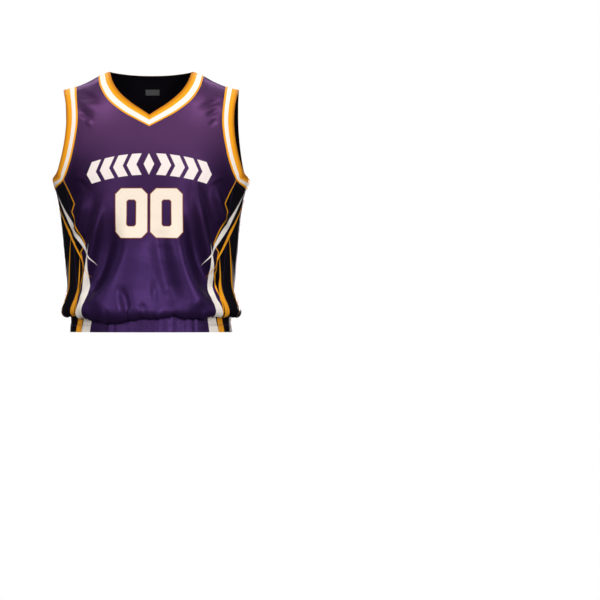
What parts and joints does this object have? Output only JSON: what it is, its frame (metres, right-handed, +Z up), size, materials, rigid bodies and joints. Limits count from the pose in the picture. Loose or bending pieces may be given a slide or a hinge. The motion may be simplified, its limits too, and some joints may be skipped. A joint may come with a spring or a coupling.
{
  "type": "basketball jersey",
  "caption": "Sleeveless V-neck basketball jersey, filled out as worn and bloused at the waist, with rib bands at neck and armholes and contrasting side inserts.",
  "frame": {"origin": "midway between the middles of the two shoulder seams, where the wearer's shoulders carry the jersey", "axes": "+Z up towards the neck, -Y out of the front, +X towards the wearer's left"},
  "size_m": [0.4932, 0.2739, 0.651],
  "materials": {
    "body_knit": "purple polyester mesh knit with a slight satin sheen",
    "side_knit": "black polyester mesh knit",
    "band_rib": "rib knit striped in gold and white",
    "label_satin": "plain grey woven satin"
  },
  "bodies": {
    "root": {"front_panel": "body_knit", "back_panel": "body_knit", "side_panel_left": "side_knit", "side_panel_right": "side_knit", "neckband": "band_rib", "armband_left": "band_rib", "armband_right": "band_rib", "neck_label": "label_satin"}
  },
  "joints": []
}
